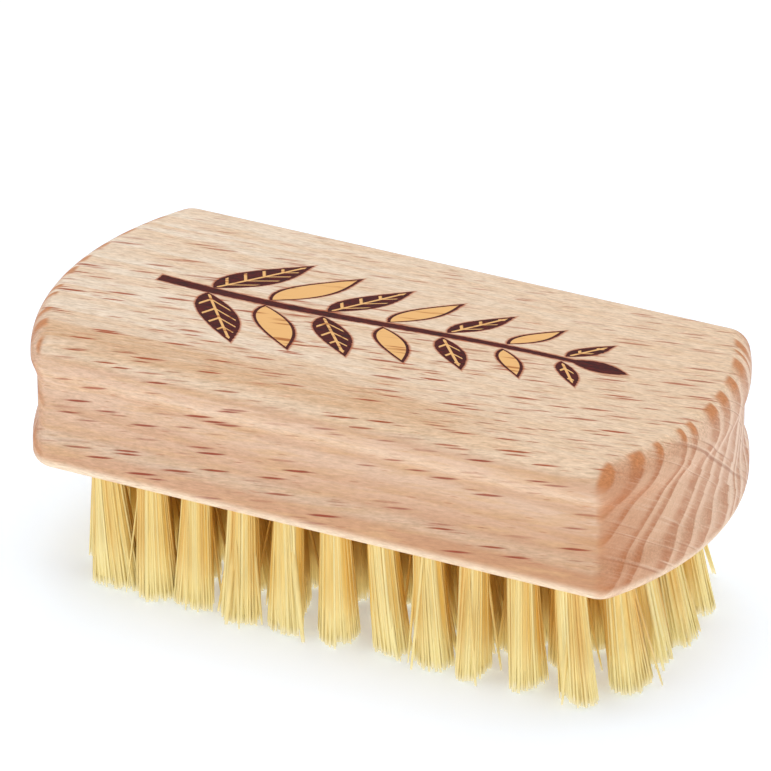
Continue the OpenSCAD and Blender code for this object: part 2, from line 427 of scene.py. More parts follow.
# The trunk wasn't straight: rings drift by about a millimetre, rays by a sixth of that.
slow = node(tree, VECTOR, (place, (1 / 120, 1 / 34, 1 / 34)), **TIMES)
drift = node(tree, NOISE, {"Vector": slow, "Scale": 1.0, "Detail": 2.0}, output="Color")
drift = node(tree, VECTOR, (drift, (0.5, 0.5, 0.5)), operation="SUBTRACT")
ring_drift, ray_drift = (node(tree, SPLIT, (drift,), output=axis) for axis in "XY")
rings = node(tree, MATHS, (ring_drift, 5.5, flat_rings), **TIMES_PLUS)
rays = node(tree, MATHS, (ray_drift, 0.9, flat_rays), **TIMES_PLUS)
tilt, rise = (node(tree, SPLIT, (facing,), output=axis) for axis in "XZ")
end_cut, flat_cut = (node(tree, MATHS, (slope,), operation="ABSOLUTE") for slope in (tilt, rise))

# %% Great rays
# The broadest rays cross the whole end from the heart outwards, 1.6 mm apart on average. Each has a
# strength of its own. The line of a growth ring jumps a little where it passes from one ray to the next.
RAY_PITCH = 1.6
ray_crowd = node(tree, NOISE, {"W": rays, "Scale": 0.4, "Detail": 1.0}, noise_dimensions="1D")
ray_count = node(tree, MATHS, (rays, 1 / RAY_PITCH), **TIMES)
ray_count = node(tree, MATHS, (ray_crowd, 1.7, ray_count), **TIMES_PLUS)
ray_number = node(tree, MATHS, (ray_count,), operation="FLOOR")
ray_share = node(tree, MATHS, (ray_count,), operation="FRACT")
ray_strength = node(tree, RANDOM, {"W": ray_number}, noise_dimensions="1D")
fading = node(tree, MATHS, (ray_number, 5.3), **TIMES)
fading = node(tree, JOIN, (rings, fading, along))
fading = node(tree, VECTOR, (fading, (0.1, 1.0, 0.2)), **TIMES)
fading = node(tree, NOISE, {"Vector": fading, "Scale": 1.0, "Detail": 1.0})
fading = node(tree, STEP, {0: fading, 1: 0.34, 2: 0.55}, **SMOOTH)
ray_strength = node(tree, MATHS, (ray_strength, fading), **TIMES)


def ray_line(tree, middle, half, weight):
    """This weight, times the ray's strength, on a line at this share of the way between two great
    rays, and 0 beyond its half width."""
    off = node(tree, MATHS, (ray_share, middle), operation="SUBTRACT")
    off = node(tree, MATHS, (off,), operation="ABSOLUTE")
    line = node(tree, STEP, {0: off, 1: half, 2: half * 0.3, 4: weight}, **SMOOTH)
    return node(tree, MATHS, (line, ray_strength), **TIMES)


pale_rays = ray_line(tree, 0.56, 0.15, 0.45)
ray_edges = ray_line(tree, 0.43, 0.1, 0.6)
jump = node(tree, MATHS, (ray_count,), operation="ROUND")
jump = node(tree, RANDOM, {"W": jump}, noise_dimensions="1D")

# %% Growth rings
# Each ring starts pale, darkens over its width and ends at a sharp line. Rings differ in width
# and strength, as seasons do. Blotches of oil follow the rings without the jumps.
RING_END = (1.0, 0.88)
ring_count = node(tree, MATHS, (rings, 1 / RING_SPACING), **TIMES)
season = node(tree, NOISE, {"W": rings, "Scale": 0.22, "Detail": 1.0}, noise_dimensions="1D")
ring_count = node(tree, MATHS, (season, 1.9, ring_count), **TIMES_PLUS)
even_share = node(tree, MATHS, (ring_count,), operation="FRACT")
even_late = band(tree, even_share, (0.3, 0.7), RING_END)
ring_count = node(tree, MATHS, (jump, 0.14, ring_count), **TIMES_PLUS)
ring_share = node(tree, MATHS, (ring_count,), operation="FRACT")
ring_number = node(tree, MATHS, (ring_count,), operation="FLOOR")
ring_strength = node(tree, RANDOM, {"W": ring_number}, noise_dimensions="1D")
ring_strength = node(tree, STEP, {0: ring_strength, 3: 0.75, 4: 1.0})
grain_place = node(tree, JOIN, (along, rings, rays))
between_rays = node(tree, VECTOR, (grain_place, (0.05, 0.35, 1.1)), **TIMES)
uneven = node(tree, NOISE, {"Vector": between_rays, "Scale": 1.0, "Detail": 2.0, "Roughness": 0.6})
uneven = node(tree, STEP, {0: uneven, 1: 0.32, 2: 0.6, 3: 0.65, 4: 1.0})
late_wood = band(tree, ring_share, (0.12, 0.78), RING_END)
for share in (ring_strength, uneven):
    late_wood = node(tree, MATHS, (late_wood, share), **TIMES)
ring_line = band(tree, ring_share, (0.8, 0.93), RING_END, 0.12)

# %% Ray flecks
# A ray is a sheet 0.2 mm thick and a few millimetres high along the grain. Cells of 7.2 mm by 0.5 mm
# hold one ray each at most, and a cell's own random colour says if it has one, and how dark it is.
# The grid of cells leans 3.7 mm for each millimetre across the rays, so that no columns show.
RAY_CELL = (1 / 7.2, 1 / 40, 1 / 0.5)
leaning = node(tree, MATHS, (rays, 3.7, along), **TIMES_PLUS)


def ray_flecks(tree, cell, keep, radius, seed):
    """Spindles on the grid of along, rings and rays: 1 inside, 0 outside, for a share of the cells."""
    where = node(tree, JOIN, (leaning, rings, rays))
    where = node(tree, VECTOR, (where, (seed, 1.7 * seed, 0.6 * seed)), operation="ADD")
    where = node(tree, VECTOR, (where, cell), **TIMES)
    settings = dict(voronoi_dimensions="3D", feature="F1", distance="MINKOWSKI")
    values = {"Vector": where, "Scale": 1.0, "Exponent": 1.6, "Randomness": 0.9}
    near, lot = (node(tree, CELLS, values, output=part, **settings) for part in ("Distance", "Color"))
    chance, size = (node(tree, "ShaderNodeSeparateColor", (lot,), output=part) for part in ("Red", "Green"))
    size = node(tree, STEP, {0: size, 3: 0.45 * radius, 4: radius})
    inner = node(tree, MATHS, (size, 0.45), **TIMES)
    shape = node(tree, STEP, {0: near, 1: size, 2: inner}, **SMOOTH)
    kept = node(tree, STEP, {0: chance, 1: keep, 2: keep * 0.3})
    return node(tree, MATHS, (shape, kept), **TIMES)


flecks = ray_flecks(tree, RAY_CELL, 0.6, 0.5, 3.0)
faint_flecks = ray_flecks(tree, (1 / 3.6, 1 / 20, 1 / 0.4), 0.7, 0.38, 41.0)
top_flecks = ray_flecks(tree, (1 / 7.5, 1 / 26, 1 / 0.42), 0.8, 0.5, 77.0)

# %% Pores and fine streaks
# Beech pores are too fine to see one by one. They show as faint streaks along the grain,
# drawn here 0.3 mm wide and less, about as fine as the picture can hold, and as specks on the end grain.
pores, streaks, fine_rays = (
    node(tree, NOISE, {
        "Vector": node(tree, VECTOR, (grain_place, scales), **TIMES),
        "Scale": 1.0, "Detail": detail, "Roughness": roughness})
    for scales, detail, roughness in (
        ((0.6, 3.4, 3.4), 2.0, 0.75), ((0.05, 0.95, 0.95), 3.0, 0.6), ((0.3, 0.22, 4.2), 1.0, 0.5)))

# %% Wood colour
# Along the grain: pale beige on the flat top, warmer to the right, and darker and pinker on the moulded
# sides, most of all low down and to the right. The paler top and the darker sides are partly the wood's own
# tone and
# partly painted light: a top in full light, and painted shade on the sides.
rightwards = node(tree, STEP, {0: along, 1: -45.0, 2: 40.0})
top_grain_and_painted_light = node(tree, BLEND, {0: rightwards, 6: linear("#EDDCC8"), 7: linear("#E7CCB0")}, **RGBA)
top_grain_and_painted_light = node(tree, BLEND, {0: late_wood, 6: top_grain_and_painted_light, 7: linear("#E6C9AC")}, **RGBA)
side_grain_and_painted_shade = node(tree, BLEND, {0: late_wood, 6: linear("#E1BFA5"), 7: linear("#D4AB8D")}, **RGBA)
low = node(tree, STEP, {0: height, 1: 13.0, 2: 3.0, 4: 0.9}, **SMOOTH)
low_right = node(tree, STEP, {0: along, 1: -40.0, 2: 30.0, 3: 0.5, 4: 1.0})
low = node(tree, MATHS, (low, low_right), **TIMES)
side_grain_and_painted_shade = node(tree, BLEND, {0: low, 6: side_grain_and_painted_shade, 7: linear("#C89470")}, **RGBA)
is_top = node(tree, STEP, {0: flat_cut, 1: 0.1, 2: 0.6}, **SMOOTH)
side_grain = node(tree, BLEND, {0: is_top, 6: side_grain_and_painted_shade, 7: top_grain_and_painted_light}, **RGBA)
warm_most = node(tree, STEP, {0: is_top, 3: 0.52, 4: 0.3})
warm = node(tree, STEP, {0: streaks, 1: 0.46, 2: 0.68, 4: warm_most})
# One broad band of the board, along its front upper edge, is browner than the rest.
board = node(tree, STEP, {0: rings, 1: -21.0, 2: -27.0}, **SMOOTH)
reach = node(tree, STEP, {0: along, 1: 34.0, 2: 8.0}, **SMOOTH)
level = node(tree, STEP, {0: flat_cut, 1: 0.6, 2: 0.97})
streaked = node(tree, STEP, {0: streaks, 1: 0.35, 2: 0.65, 3: 0.6, 4: 0.95})
for share in (reach, level, streaked):
    board = node(tree, MATHS, (board, share), **TIMES)

# Across the grain: darker and pinker, with the pale lines of the rays.
end_grain = node(tree, BLEND, {0: late_wood, 6: linear("#EACEB7"), 7: linear("#BF8563")}, **RGBA)
end_grain = node(tree, BLEND, {0: ring_line, 6: end_grain, 7: linear("#A87355")}, **RGBA)
deep = node(tree, STEP, {0: across, 1: 12.0, 2: -18.0}, **SMOOTH)
deep = node(tree, BLEND, {0: deep, 6: (1.0, 0.99, 0.98, 1), 7: (0.86, 0.73, 0.63, 1)}, **RGBA)
end_grain = node(tree, VECTOR, (end_grain, deep), **TIMES)
pale = node(tree, STEP, {0: fine_rays, 1: 0.55, 2: 0.8, 4: 0.4})
pale = node(tree, MATHS, (pale_rays, pale), operation="ADD")
for weight, colour in ((ray_edges, "#A26A50"), (pale, "#EBD0B8")):
    end_grain = node(tree, BLEND, {0: weight, 6: end_grain, 7: linear(colour)}, **RGBA)

# Where a roundover cuts the fibres aslant, the late wood takes up the most oil. The front corners are darker
# and redder as well, most of all the right one, and streaks of it reach about a centimetre into the side.
aslant = band(tree, end_cut, (0.12, 0.35), (0.9, 0.6))
facing_up = node(tree, STEP, {0: rise, 1: 0.0, 2: 0.35, 3: 0.3, 4: 0.9}, **SMOOTH)
corner_end = (1.0, 0.84)
corner = band(tree, end_cut, (0.02, 0.55), corner_end)
front = node(tree, STEP, {0: across, 1: -8.0, 2: -20.0, 4: 0.55}, **SMOOTH)
streaks_into_side = node(tree, STEP, {0: along, 1: 32.0, 2: 45.0}, **SMOOTH)
off_end = node(tree, STEP, {0: end_cut, 1: corner_end[0], 2: corner_end[1]}, **SMOOTH)
in_streaks = node(tree, STEP, {0: streaks, 1: 0.42, 2: 0.62, 4: 0.8}, **SMOOTH)
off_top = node(tree, STEP, {0: flat_cut, 1: 0.97, 2: 0.6, 3: 0.25, 4: 1.0})
for share in (in_streaks, off_end, off_top):
    streaks_into_side = node(tree, MATHS, (streaks_into_side, share), **TIMES)
corner = node(tree, MATHS, (corner, streaks_into_side), operation="MAXIMUM")
more_to_the_right = node(tree, STEP, {0: along, 1: -40.0, 2: 20.0, 3: 0.4, 4: 1.0})
for share in (front, more_to_the_right):
    corner = node(tree, MATHS, (corner, share), **TIMES)
soaked = even_late
for share in (aslant, facing_up):
    soaked = node(tree, MATHS, (soaked, share), **TIMES)

# Sanding has worn the flecks of the top fainter towards the back.
worn = node(tree, STEP, {0: across, 1: -8.0, 2: 14.0, 3: 0.97, 4: 0.62})
fleck_weight = node(tree, BLEND, {0: is_top, 2: 0.95, 3: worn}, data_type="FLOAT")
side_flecks = node(tree, MATHS, (top_flecks, is_top), **TIMES)
side_flecks = node(tree, MATHS, (flecks, side_flecks), operation="MAXIMUM")
side_flecks = node(tree, MATHS, (side_flecks, fleck_weight), **TIMES)
fleck_colour = node(tree, BLEND, {0: is_top, 6: linear("#9A4836"), 7: linear("#A85435")}, **RGBA)
soft_flecks = node(tree, MATHS, (faint_flecks, 0.45), **TIMES)
layers = (
    (warm, linear("#DDB487")), (board, linear("#D5AB84")),
    (side_flecks, fleck_colour), (soft_flecks, linear("#B4704F")),
)
for weight, colour in layers:
    side_grain = node(tree, BLEND, {0: weight, 6: side_grain, 7: colour}, **RGBA)
is_end = node(tree, STEP, {0: end_cut, 1: 0.3, 2: 0.85}, **SMOOTH)
wood = node(tree, BLEND, {0: is_end, 6: side_grain, 7: end_grain}, **RGBA)
# The lower roundover is painted paler: a painted reflection of the white table, and of its light from below.
table_reflection_painted = node(tree, STEP, {0: height, 1: 2.6, 2: 1.3, 4: 0.7}, **SMOOTH)
beside_bottom = node(tree, STEP, {0: rise, 1: -0.98, 2: -0.9}, **SMOOTH)
table_reflection_painted = node(tree, MATHS, (table_reflection_painted, beside_bottom), **TIMES)
for weight, colour in ((corner, "#BB7A52"), (table_reflection_painted, "#F0DAC0"), (soaked, "#C58254")):
    wood = node(tree, BLEND, {0: weight, 6: wood, 7: linear(colour)}, **RGBA)
# The fine streaks show most on the flat top, and more on the pale half of a side than on its warm one.
contrast = node(tree, STEP, {0: along, 1: -40.0, 2: 40.0, 3: 1.5, 4: 0.8})
contrast = node(tree, BLEND, {0: is_top, 2: contrast, 3: 1.8}, data_type="FLOAT")
speck = node(tree, MATHS, (pores, 0.5), operation="SUBTRACT")
speck = node(tree, MATHS, (speck, contrast, 0.5), **TIMES_PLUS)
shade = node(tree, BLEND, {0: speck, 6: (0.76, 0.73, 0.69, 1), 7: (1.24, 1.27, 1.31, 1)}, **RGBA)
wood = node(tree, VECTOR, (wood, shade), **TIMES)

# %% [markdown]
# The top carries a burnt ornament, a plain sprig of paired leaves. A hot die scorches such a design
# into the sanded wood: it is dark brown and a little porous, with a thin reddish line where the heat
# fades out, and the areas that it only warms turn honey yellow.
# The sprig is drawn as a distance in millimetres to its edge, negative inside, so that the scorch
# and its reddish line can follow the edge at any size.

# %% Sprig ornament
SPRIG_START, SPRIG_END = -31.0, 27.0
LEAF_PITCH = 8.3
LEAF_SLANT = 0.8
LEAF_HALF = 5.7
LEAF_WIDTH = 3.0
LEAF_SHRINK = 0.085
PAIRS = 7
TOP_HALF, TOP_WIDTH = 4.2, 1.3
FAR_OFF = 9.0


def sprig_distance(tree):
    """Distance to the sprig's edge and a mark for the honey leaves.
    The stem is a slow wave along x. Beside it, space is sheared so that slanted leaves stand upright
    in cells of one leaf pitch. A leaf is as wide as a parabola that is zero at both ends, fuller at its foot,
    and each pair is a little smaller than the one before it."""
    away = along
    for operation, *others in (
            ("MULTIPLY", 1 / 15), ("SINE",), ("MULTIPLY_ADD", 1.5, 1.4), ("SUBTRACT", across), ("ABSOLUTE",)):
        away = node(tree, MATHS, (away, *others), operation=operation)
    cells = node(tree, MATHS, (away, -LEAF_SLANT, along), **TIMES_PLUS)
    cells = node(tree, MATHS, (cells, SPRIG_START), operation="SUBTRACT")
    cells = node(tree, MATHS, (cells, 1 / LEAF_PITCH), **TIMES)
    number = node(tree, MATHS, (cells,), operation="FLOOR")
    beside = cells
    for operation, *others in (("FRACT",), ("SUBTRACT", 0.5), ("MULTIPLY", LEAF_PITCH), ("ABSOLUTE",)):
        beside = node(tree, MATHS, (beside, *others), operation=operation)
    size = node(tree, MATHS, (number, -LEAF_SHRINK, 1.0), **TIMES_PLUS)
    half = node(tree, MATHS, (size, LEAF_HALF), **TIMES)
    middle = node(tree, MATHS, (half, 0.7), operation="ADD")
    rise = node(tree, MATHS, (away, middle), operation="SUBTRACT")
    rise = node(tree, MATHS, (rise, half), operation="DIVIDE")
    slim = node(tree, MATHS, (rise, -0.38, 1.0), **TIMES_PLUS)
    slim = node(tree, MATHS, (slim, 0.3), operation="MAXIMUM")
    bulge = node(tree, MATHS, (rise, rise), **TIMES)
    width = node(tree, MATHS, (bulge, -1.0, 1.0), **TIMES_PLUS)
    for share in (slim, size):
        width = node(tree, MATHS, (width, share), **TIMES)
    leaf = node(tree, MATHS, (width, -LEAF_WIDTH, beside), **TIMES_PLUS)
    leafy = node(tree, MATHS, (number, (PAIRS - 1) / 2, PAIRS / 2), operation="COMPARE")
    bare = node(tree, MATHS, (1.0, leafy), operation="SUBTRACT")
    leaf = node(tree, MATHS, (bare, FAR_OFF, leaf), **TIMES_PLUS)

    # A last leaf ends the stem, and the stem itself thins towards it.
    top = node(tree, MATHS, (along, 1 / TOP_HALF, -(SPRIG_END + 1.5) / TOP_HALF), **TIMES_PLUS)
    top = node(tree, MATHS, (top, top), **TIMES)
    top = node(tree, MATHS, (top, TOP_WIDTH, away), **TIMES_PLUS)
    top = node(tree, MATHS, (top, TOP_WIDTH), operation="SUBTRACT")
    thin = node(tree, STEP, {0: along, 1: SPRIG_START - 3, 2: SPRIG_END, 3: 0.8, 4: 0.4})
    stem = node(tree, MATHS, (away, thin), operation="SUBTRACT")
    past = node(tree, MATHS, (along, SPRIG_END), operation="SUBTRACT")
    before = node(tree, MATHS, (SPRIG_START - 3.0, along), operation="SUBTRACT")
    for part in (past, before):
        stem = node(tree, MATHS, (stem, part), operation="MAXIMUM")
    edge = leaf
    for part in (stem, top):
        edge = node(tree, MATHS, (edge, part), operation="MINIMUM")

    # Every second pair is honey inside a dark rim, and the dark pairs have honey veins.
    odd = node(tree, MATHS, (number, 2.0), operation="MODULO")
    inside = node(tree, MATHS, (leaf, -1.0), **TIMES)
    rim = node(tree, STEP, {0: inside, 1: 0.42, 2: 0.5}, **SMOOTH)
    rim = node(tree, MATHS, (rim, odd), **TIMES)
    vein = node(tree, STEP, {0: beside, 1: 0.26, 2: 0.18}, **SMOOTH)
    deep = node(tree, STEP, {0: inside, 1: 0.5, 2: 0.62}, **SMOOTH)
    side_vein = node(tree, MATHS, (beside, -0.75, away), **TIMES_PLUS)
    side_vein = node(tree, MATHS, (side_vein, 1 / 2.1), **TIMES)
    side_vein = node(tree, MATHS, (side_vein,), operation="FRACT")
    side_vein = node(tree, STEP, {0: side_vein, 1: 0.2, 2: 0.12}, **SMOOTH)
    vein = node(tree, MATHS, (vein, side_vein), operation="MAXIMUM")
    even = node(tree, MATHS, (odd, 0.5), operation="LESS_THAN")
    for share in (deep, even):
        vein = node(tree, MATHS, (vein, share), **TIMES)
    clear_stem = node(tree, STEP, {0: stem, 1: 0.1, 2: 0.25}, **SMOOTH)
    honey = node(tree, MATHS, (rim, clear_stem), **TIMES)
    honey = node(tree, MATHS, (honey, vein), operation="MAXIMUM")
    return edge, honey


sprig_edge, honey = sprig_distance(tree)
ragged = node(tree, VECTOR, (place, (1.2, 5.0, 1.0)), **TIMES)
ragged = node(tree, NOISE, {"Vector": ragged, "Scale": 1.0, "Detail": 1.0})
sprig_edge = node(tree, MATHS, (ragged, 0.3, sprig_edge), **TIMES_PLUS)
sprig_edge = node(tree, MATHS, (sprig_edge, 0.15), operation="SUBTRACT")
on_top = node(tree, MATHS, (height, HEIGHT - 0.3), operation="GREATER_THAN")
scorch = node(tree, STEP, {0: sprig_edge, 1: 0.07, 2: -0.07}, **SMOOTH)
halo = node(tree, STEP, {0: sprig_edge, 1: 0.42, 2: 0.0, 4: 0.85}, **SMOOTH)
scorch, halo = (node(tree, MATHS, (mark, on_top), **TIMES) for mark in (scorch, halo))
burnt_dark = node(tree, STEP, {0: pores, 1: 0.3, 2: 0.7})
burnt = node(tree, BLEND, {0: burnt_dark, 6: linear("#1A0304"), 7: linear("#611B17")}, **RGBA)
warmed = node(tree, BLEND, {0: side_flecks, 6: linear("#F0BC7C"), 7: linear("#B4703C")}, **RGBA)
burnt = node(tree, BLEND, {0: honey, 6: burnt, 7: warmed}, **RGBA)
wood = node(tree, BLEND, {0: halo, 6: wood, 7: linear("#B4603A")}, **RGBA)
wood = node(tree, BLEND, {0: scorch, 6: wood, 7: burnt}, **RGBA)

# %% Wood finish
# Oil leaves a soft satin. The flecks and the scorched lines lie a few hundredths of a millimetre low.
low = node(tree, MATHS, (side_flecks, scorch), operation="MAXIMUM")
relief = node(tree, MATHS, (low, -1.0, pores), **TIMES_PLUS)
bump = node(tree, "ShaderNodeBump", {"Height": relief, "Strength": 0.35, "Distance": 0.03 * MM})
gloss = node(tree, STEP, {0: pores, 1: 0.2, 2: 0.8, 3: 0.42, 4: 0.56})
finish = {"Base Color": wood, "Roughness": gloss, "IOR": 1.45, "Specular IOR Level": 0.1, "Normal": bump}
oiled = node(tree, "ShaderNodeBsdfPrincipled", finish)
node(tree, SURFACE, {"Surface": oiled})
block.data.materials.append(beech)
print("beech material nodes:", len(tree.nodes))

# %% [markdown]
# Each tuft is a bundle of plant fibres, folded in half round its anchor and trimmed flat with the rest.
# Packed tight in the hole, the fibres spread below it, lean on each other in a few clumps,
# and some cross the gap to the next tuft. Some 240 of them fill a hole of 4.3 mm.
# A fibre is a five-sided rod with rounded shading, since there are 16,800 of them. It is a little flat,
# and lies with its wide side outwards, as fibres settle in a bundle.
# The middle of a tuft is packed so close that no light gets in, so it is one fluted body, and the
# outer fibres lie half sunk in its flutes. Their ends stand out of it at the tips.

# %% Fibres
FIBRES = 240
ROOT_REACH = 1.87
FLARE = 1.36
FAN_OUT = 1.6
SWEEP = 0.7
CLUMPS = 5
ROOT_DEPTH = 5.6
GOLDEN_TURN = math.pi * (3 - math.sqrt(5))
STATIONS = np.array([-ROOT_DEPTH / BOTTOM, -0.01, 0.28, 0.62, 1.0])
SIDES = 5
FLUTES = 54
FIELD_REACH = (39.0, 18.4)
LAST_TUFT = 36.85
LIGHT_REACH = 4.5
STRAY_SHARE, SHORT_SHARE = 0.03, 0.05
LOWEST_TRIM, HIGHEST_TRIM = 0.02, 3.0


def tuft_habit(xs, y, random):
    """How each tuft of a row stands: its clumps and their leans, its own lean and its spread.
    Use has swept all tips 0.7 mm along the brush, and splayed those at the end that leads by up to
    1.6 mm more and 0.15 of their y, both by a high power of the share of the way there."""
    tufts = len(xs)
    leading = np.clip(xs / LAST_TUFT, 0, 1) ** 8
    lean = np.stack([SWEEP + FAN_OUT * leading, 0.15 * y * leading ** 2], axis=1)
    return {
        "clump": random.uniform(-1, 1, (tufts, CLUMPS, 2)) * ROOT_REACH,
        "clump_lean": random.normal(0, 0.52, (tufts, CLUMPS, 2)),
        "lean": (lean + random.normal(0, 0.5, (tufts, 2)))[:, None],
        "bundles": random.integers(2, 6, (tufts, 1)),
        "bundle_start": random.uniform(0, 2 * math.pi, (tufts, 1)),
        "spread": FLARE * random.uniform(0.95, 1.09, (tufts, 1, 1)),
        "foot": np.stack([xs, np.full(tufts, y)], axis=1)[:, None, None],
    }


def tip_of(root, habit):
    """Where a fibre from this root ends: the root spread by the flare, moved by its tuft's lean and by
    its clumps' leans, which are weighed by exp(-1.6 x distance squared) and so blend from one to the next."""
    gap = ((root[:, :, None] - habit["clump"][:, None]) ** 2).sum(axis=3)
    weight = np.exp(-1.6 * gap) + 1e-6
    weight /= weight.sum(axis=2, keepdims=True)
    return root * habit["spread"] + habit["lean"] + weight @ habit["clump_lean"]


def bundle_tone(turn, habit):
    """Fibres of one leaf lie together, so a tuft has a few pale and a few golden sides: a sine wave
    round the tuft, two to five times."""
    return 0.5 + 0.5 * np.sin(turn * habit["bundles"] + habit["bundle_start"])


def along_path(root, tip, stations, habit):
    """Places at each station: straight from root to tip, starting slowly with the run to the power 1.12."""
    run = np.clip(stations, 0, 1)
    return root[:, :, None] + (tip - root)[:, :, None] * (run ** 1.12)[:, None] + habit["foot"]


def depth_inside(root, habit):
    """How far inside the brush a root stands: 0 on its outer side, 1 from 4.5 mm further in.
    The outer side is an ellipse-like line, the 8th root of the sum of 8th powers of both shares."""
    place = root + habit["foot"][:, 0]
    share = np.abs(place) / FIELD_REACH
    edge = (share ** 8).sum(axis=2) ** 0.125
    return np.clip((1 - edge) * FIELD_REACH[1] / LIGHT_REACH, 0, 1)


def packed_middle(habit, random, first):
    """The fluted body of each tuft: a ring of 2 x 54 points on the paths of its outer fibres, every
    second one 0.06 mm further in, carried down to 92% of the tuft's length, where it is 7% narrower,
    and closed at both ends. It counts as standing 1.6 mm further inside, so it takes more of the painted
    golden shade."""
    tufts = len(habit["lean"])
    around = 2 * FLUTES
    turn = np.arange(around) * 2 * math.pi / around + random.normal(0, 0.012, (tufts, around))
    reach = ROOT_REACH - 0.01 - 0.06 * (np.arange(around) % 2) + random.normal(0, 0.02, (tufts, around))
    root = reach[..., None] * on_circle(turn)
    root *= 1 + 0.045 * depth_inside(root, habit)[..., None]
    stations = np.array([-ROOT_DEPTH / BOTTOM, -0.01, 0.2, 0.45, 0.7, 0.92])
    narrow = np.array([1, 1, 1, 1, 1, 0.93])[None, None, :, None]
    path = along_path(root, tip_of(root, habit), stations, habit)
    centre = path.mean(axis=1, keepdims=True)
    path = np.concatenate([centre + (path - centre) * narrow, centre], axis=1)
    level = np.broadcast_to(BOTTOM - stations * (BOTTOM - 0.4), path.shape[:3])
    rings = np.concatenate([path, level[..., None]], axis=3).swapaxes(1, 2)
    points = rings.reshape(-1, 3)
    rows, wide = len(stations), around + 1
    start = first + np.arange(tufts)[:, None, None] * rows * wide
    side = np.arange(around)[None, None, :]
    after = (side + 1) % around
    ring = np.arange(rows - 1)[None, :, None] * wide
    walls = walls_between(start + ring, side, after, wide)
    last = (rows - 1) * wide
    ends = [(start + side, start + after, start + around),
            (start + last + after, start + last + side, start + last + around)]
    caps = np.concatenate([np.stack(np.broadcast_arrays(*end), axis=3).reshape(-1, 3) for end in ends])
    tone = 0.4 * random.random((tufts, around)) + 0.5 * bundle_tone(turn, habit)
    tone = np.concatenate([tone, tone[:, :1]], axis=1)
    run = np.clip(stations, 0, 1)
    root = np.concatenate([root, np.zeros((tufts, 1, 2))], axis=1)
    deep = np.clip(depth_inside(root, habit) + 0.35, 0, 1)
    marks = np.broadcast_arrays(tone[:, None], run[:, None], deep[:, None])
    return points, walls, caps, [mark.ravel() for mark in marks]


def fibre_row(xs, y, seed):
    """Points and faces of all fibres in a row, and three marks of each point: its fibre's tone, its run
    from hole to tip, and how deep inside the brush its fibre stands.
    Roots fill a disc by the sunflower rule: radius as the root of the count, golden turn between.
    Every tip also has a small stray of its own, and three in a hundred a large one."""
    random = np.random.default_rng(seed)
    tufts = len(xs)
    habit = tuft_habit(xs, y, random)
    count = np.arange(FIBRES)
    reach = ROOT_REACH * np.sqrt((count + 0.5) / FIBRES)
    turn = count * GOLDEN_TURN + random.uniform(0, 2 * math.pi, (tufts, 1))
    root = reach[..., None] * on_circle(turn)
    root += random.normal(0, 0.03, root.shape)
    tip = tip_of(root, habit) + random.normal(0, 0.06, root.shape)
    strays = random.random((tufts, FIBRES)) < STRAY_SHARE
    stray_turn = random.uniform(0, 2 * math.pi, (tufts, FIBRES))
    stray_reach = random.uniform(0.8, 2.9, (tufts, FIBRES)) * strays
    tip += on_circle(stray_turn) * stray_reach[..., None]

    slope = random.normal(0, 0.06, (tufts, 1, 2))
    trim = 0.42 + (root * slope).sum(axis=2)
    trim += random.normal(0, 0.16, trim.shape) + np.abs(random.normal(0, 0.26, trim.shape))
    short = random.random(trim.shape) < SHORT_SHARE
    trim += short * random.uniform(0.3, 1.6, trim.shape)
    trim -= strays * 0.25
    trim = np.clip(trim, LOWEST_TRIM, HIGHEST_TRIM)

    run = np.clip(STATIONS, 0, 1)
    bow = random.normal(0, 0.05, root.shape)[:, :, None] * np.sin(math.pi * run)[:, None]
    path = along_path(root, tip, STATIONS, habit) + bow
    level = BOTTOM - STATIONS * (BOTTOM - trim[..., None])
    inner = np.clip(1.7 - 2.0 * count / FIBRES, 0, 1)[None, :, None, None]
    thick = random.uniform(0.12, 0.16, (tufts, FIBRES, 1, 1)) * (1 + 1.1 * inner)
    spin = np.arange(SIDES) * 2 * math.pi / SIDES
    facing_out = (turn + random.normal(0, 0.35, turn.shape))[..., None, None]
    taper = np.array([0.8, 0.95, 1.0, 1.0, 0.95])[None, None, :, None]
    taper = taper * np.where(STATIONS == 1.0, 1 / (1 + 0.8 * inner[..., 0]), 1.0)[..., None]
    flat = random.uniform(0.6, 0.85, (tufts, FIBRES, 1, 1))
    deep = thick * taper * flat * np.cos(spin)
    wide = thick * taper / flat * np.sin(spin)
    x = path[..., 0, None] + deep * np.cos(facing_out) - wide * np.sin(facing_out)
    y_out = path[..., 1, None] + deep * np.sin(facing_out) + wide * np.cos(facing_out)
    z = np.broadcast_to(level[..., None], x.shape)
    points = np.stack([x, y_out, z], axis=-1).reshape(-1, 3)

    stations = len(STATIONS)
    start = np.arange(tufts * FIBRES)[:, None, None] * stations * SIDES
    ring = np.arange(stations - 1)[None, :, None] * SIDES
    side = np.arange(SIDES)[None, None, :]
    after = (side + 1) % SIDES
    walls = walls_between(start + ring, side, after, SIDES)
    flip = start[:, 0] + np.arange(SIDES)
    ends = start[:, 0] + (stations - 1) * SIDES + np.arange(SIDES)[::-1]
    tone = 0.45 * random.random((tufts, FIBRES)) + 0.55 * bundle_tone(turn, habit)
    tone = np.repeat(tone.ravel(), stations * SIDES)
    runs = np.tile(np.repeat(run, SIDES), tufts * FIBRES)
    inside = np.repeat(depth_inside(root, habit).ravel(), stations * SIDES)
    more_points, more_walls, caps, more_marks = packed_middle(habit, random, len(points))
    points = np.concatenate([points, more_points])
    faces = [np.concatenate([walls, more_walls]), np.concatenate([flip, ends]), caps]
    marks = [np.concatenate(pair) for pair in zip([tone, runs, inside], more_marks)]
    return points, faces, dict(zip(("tone", "run", "inside"), marks))


